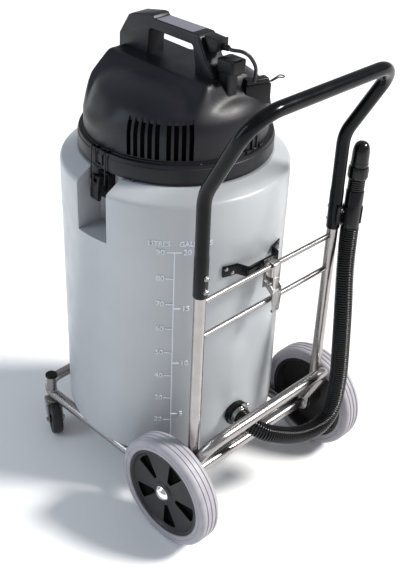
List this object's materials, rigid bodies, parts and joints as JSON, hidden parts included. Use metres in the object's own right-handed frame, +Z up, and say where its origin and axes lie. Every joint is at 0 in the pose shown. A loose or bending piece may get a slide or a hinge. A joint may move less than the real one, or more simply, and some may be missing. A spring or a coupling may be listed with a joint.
{
  "type": "dust_collector",
  "caption": "Wheeled wet and dry dust collector: grey drum on a steel tube trolley, clipped black power head with carrying grip, push handle and a drain hose parked on its rear clip",
  "frame": {"origin": "middle of the footprint on the floor, measured without the hose", "axes": "+Z up, +Y to the rear where the push handle and the big wheels are, +X to the right-hand big wheel"},
  "size_m": [0.531, 0.6486, 1.016],
  "materials": {
    "grey_plastic": "satin moulded",
    "black_plastic": "satin moulded",
    "black_paint": "gloss powder coat",
    "stainless_steel": "polished drawn tube",
    "zinc_plate": "bright zinc",
    "chrome": "polished",
    "grey_rubber": "matt non-marking",
    "black_rubber": "matt",
    "filter_cloth": "needled felt"
  },
  "bodies": {
    "trolley": {"axle_plate_left": "stainless_steel", "axle_plate_right": "stainless_steel", "axle_rod": "zinc_plate", "axle_tube": "stainless_steel", "base_loop": "stainless_steel", "cable_anchor": "black_plastic", "cable_loop": "black_rubber", "caster_socket_left": "stainless_steel", "caster_socket_right": "stainless_steel", "clip_base_left": "black_plastic", "clip_base_right": "black_plastic", "drain_hose": "black_rubber", "drum": "grey_plastic", "drum_bracket": "black_paint", "filter_bag": "filter_cloth", "flex_lead": "black_rubber", "float_cage": "black_plastic", "head_cover": "black_plastic", "head_ring": "black_plastic", "hose_clamp": "zinc_plate", "hose_clip": "black_plastic", "hose_cuff": "black_plastic", "inlet_port": "black_plastic", "lower_rod": "stainless_steel", "mains_inlet": "black_plastic", "motor_can": "zinc_plate", "motor_plate": "black_plastic", "outlet_flange": "black_plastic", "push_handle": "black_paint", "rear_bar": "stainless_steel", "rim_seal": "black_rubber", "switch_block": "black_plastic", "toggle_base": "zinc_plate", "top_handle": "black_plastic", "upper_rod": "stainless_steel", "upright_left": "stainless_steel", "upright_right": "stainless_steel"},
    "wheel_right": {"wheel_tyre_right": "grey_rubber", "wheel_hub_right": "black_plastic", "hub_cap_right": "chrome"},
    "wheel_left": {"wheel_tyre_left": "grey_rubber", "wheel_hub_left": "black_plastic", "hub_cap_left": "chrome"},
    "swivel_right": {"caster_fork_right": "zinc_plate"},
    "swivel_left": {"caster_fork_left": "zinc_plate"},
    "caster_roller_right": {"caster_tyre_right": "grey_rubber", "caster_core_right": "black_plastic"},
    "caster_roller_left": {"caster_tyre_left": "grey_rubber", "caster_core_left": "black_plastic"},
    "clip_lever_right": {"clip_lever_right": "black_plastic"},
    "clip_lever_left": {"clip_lever_left": "black_plastic"},
    "clip_wire_right": {"clip_wire_right": "stainless_steel"},
    "clip_wire_left": {"clip_wire_left": "stainless_steel"},
    "toggle_lever": {"toggle_lever": "zinc_plate"},
    "toggle_strap": {"toggle_strap": "stainless_steel"},
    "switch_rocker": {"switch_rocker": "black_rubber"},
    "rotor": {"motor_rotor": "zinc_plate"},
    "float": {"float_ball": "black_plastic"},
    "cap": {"hose_cap": "black_plastic"}
  },
  "joints": [
    {"name": "wheel_spin_right", "type": "hinge", "parent": "trolley", "child": "wheel_right", "pos_m": [0.233, 0.1832, 0.125], "axis": [1, 0, 0], "continuous": true},
    {"name": "swivel_turn_right", "type": "hinge", "parent": "trolley", "child": "swivel_right", "pos_m": [0.198, -0.2638, 0.074], "axis": [0, 0, 1], "continuous": true},
    {"name": "caster_spin_right", "type": "hinge", "parent": "swivel_right", "child": "caster_roller_right", "pos_m": [0.21071, -0.23885, 0.0375], "axis": [0.891, -0.454, 0], "continuous": true},
    {"name": "clip_open_right", "type": "hinge", "parent": "trolley", "child": "clip_lever_right", "pos_m": [0.2035, -0.0668, 0.748], "axis": [0, -1, 0], "range_deg": [0, 110]},
    {"name": "wire_turn_right", "type": "hinge", "parent": "clip_lever_right", "child": "clip_wire_right", "pos_m": [0.2035, -0.0668, 0.739], "axis": [0, -1, 0], "range_deg": [-110, 0]},
    {"name": "wheel_spin_left", "type": "hinge", "parent": "trolley", "child": "wheel_left", "pos_m": [-0.233, 0.1832, 0.125], "axis": [1, 0, 0], "continuous": true},
    {"name": "swivel_turn_left", "type": "hinge", "parent": "trolley", "child": "swivel_left", "pos_m": [-0.198, -0.2638, 0.074], "axis": [0, 0, 1], "continuous": true},
    {"name": "caster_spin_left", "type": "hinge", "parent": "swivel_left", "child": "caster_roller_left", "pos_m": [-0.18529, -0.23885, 0.0375], "axis": [0.891, -0.454, 0], "continuous": true},
    {"name": "clip_open_left", "type": "hinge", "parent": "trolley", "child": "clip_lever_left", "pos_m": [-0.2035, -0.0668, 0.748], "axis": [0, 1, 0], "range_deg": [0, 110]},
    {"name": "wire_turn_left", "type": "hinge", "parent": "clip_lever_left", "child": "clip_wire_left", "pos_m": [-0.2035, -0.0668, 0.739], "axis": [0, 1, 0], "range_deg": [-110, 0]},
    {"name": "toggle_open", "type": "hinge", "parent": "trolley", "child": "toggle_lever", "pos_m": [-0.012, 0.2122, 0.545], "axis": [1, 0, 0], "range_deg": [0, 70]},
    {"name": "strap_turn", "type": "hinge", "parent": "toggle_lever", "child": "toggle_strap", "pos_m": [-0.012, 0.2207, 0.5419], "axis": [1, 0, 0], "range_deg": [-70, 0]},
    {"name": "switch_rock", "type": "hinge", "parent": "trolley", "child": "switch_rocker", "pos_m": [0, 0.0882, 0.9785], "axis": [1, 0, 0], "range_deg": [-14, 0]},
    {"name": "rotor_spin", "type": "hinge", "parent": "trolley", "child": "rotor", "pos_m": [0, -0.0618, 0.85], "axis": [0, 0, 1], "continuous": true},
    {"name": "float_rise", "type": "slide", "parent": "trolley", "child": "float", "axis": [0, 0, 1], "range_m": [0, 0.027]},
    {"name": "cap_pull", "type": "slide", "parent": "trolley", "child": "cap", "axis": [-0.1079, -0.054, 0.9927], "range_m": [0, 0.07]}
  ],
  "couplings": [
    {"joint": "wire_turn_right", "follows": "clip_open_right", "ratio": -1},
    {"joint": "wire_turn_left", "follows": "clip_open_left", "ratio": -1},
    {"joint": "strap_turn", "follows": "toggle_open", "ratio": -1}
  ]
}
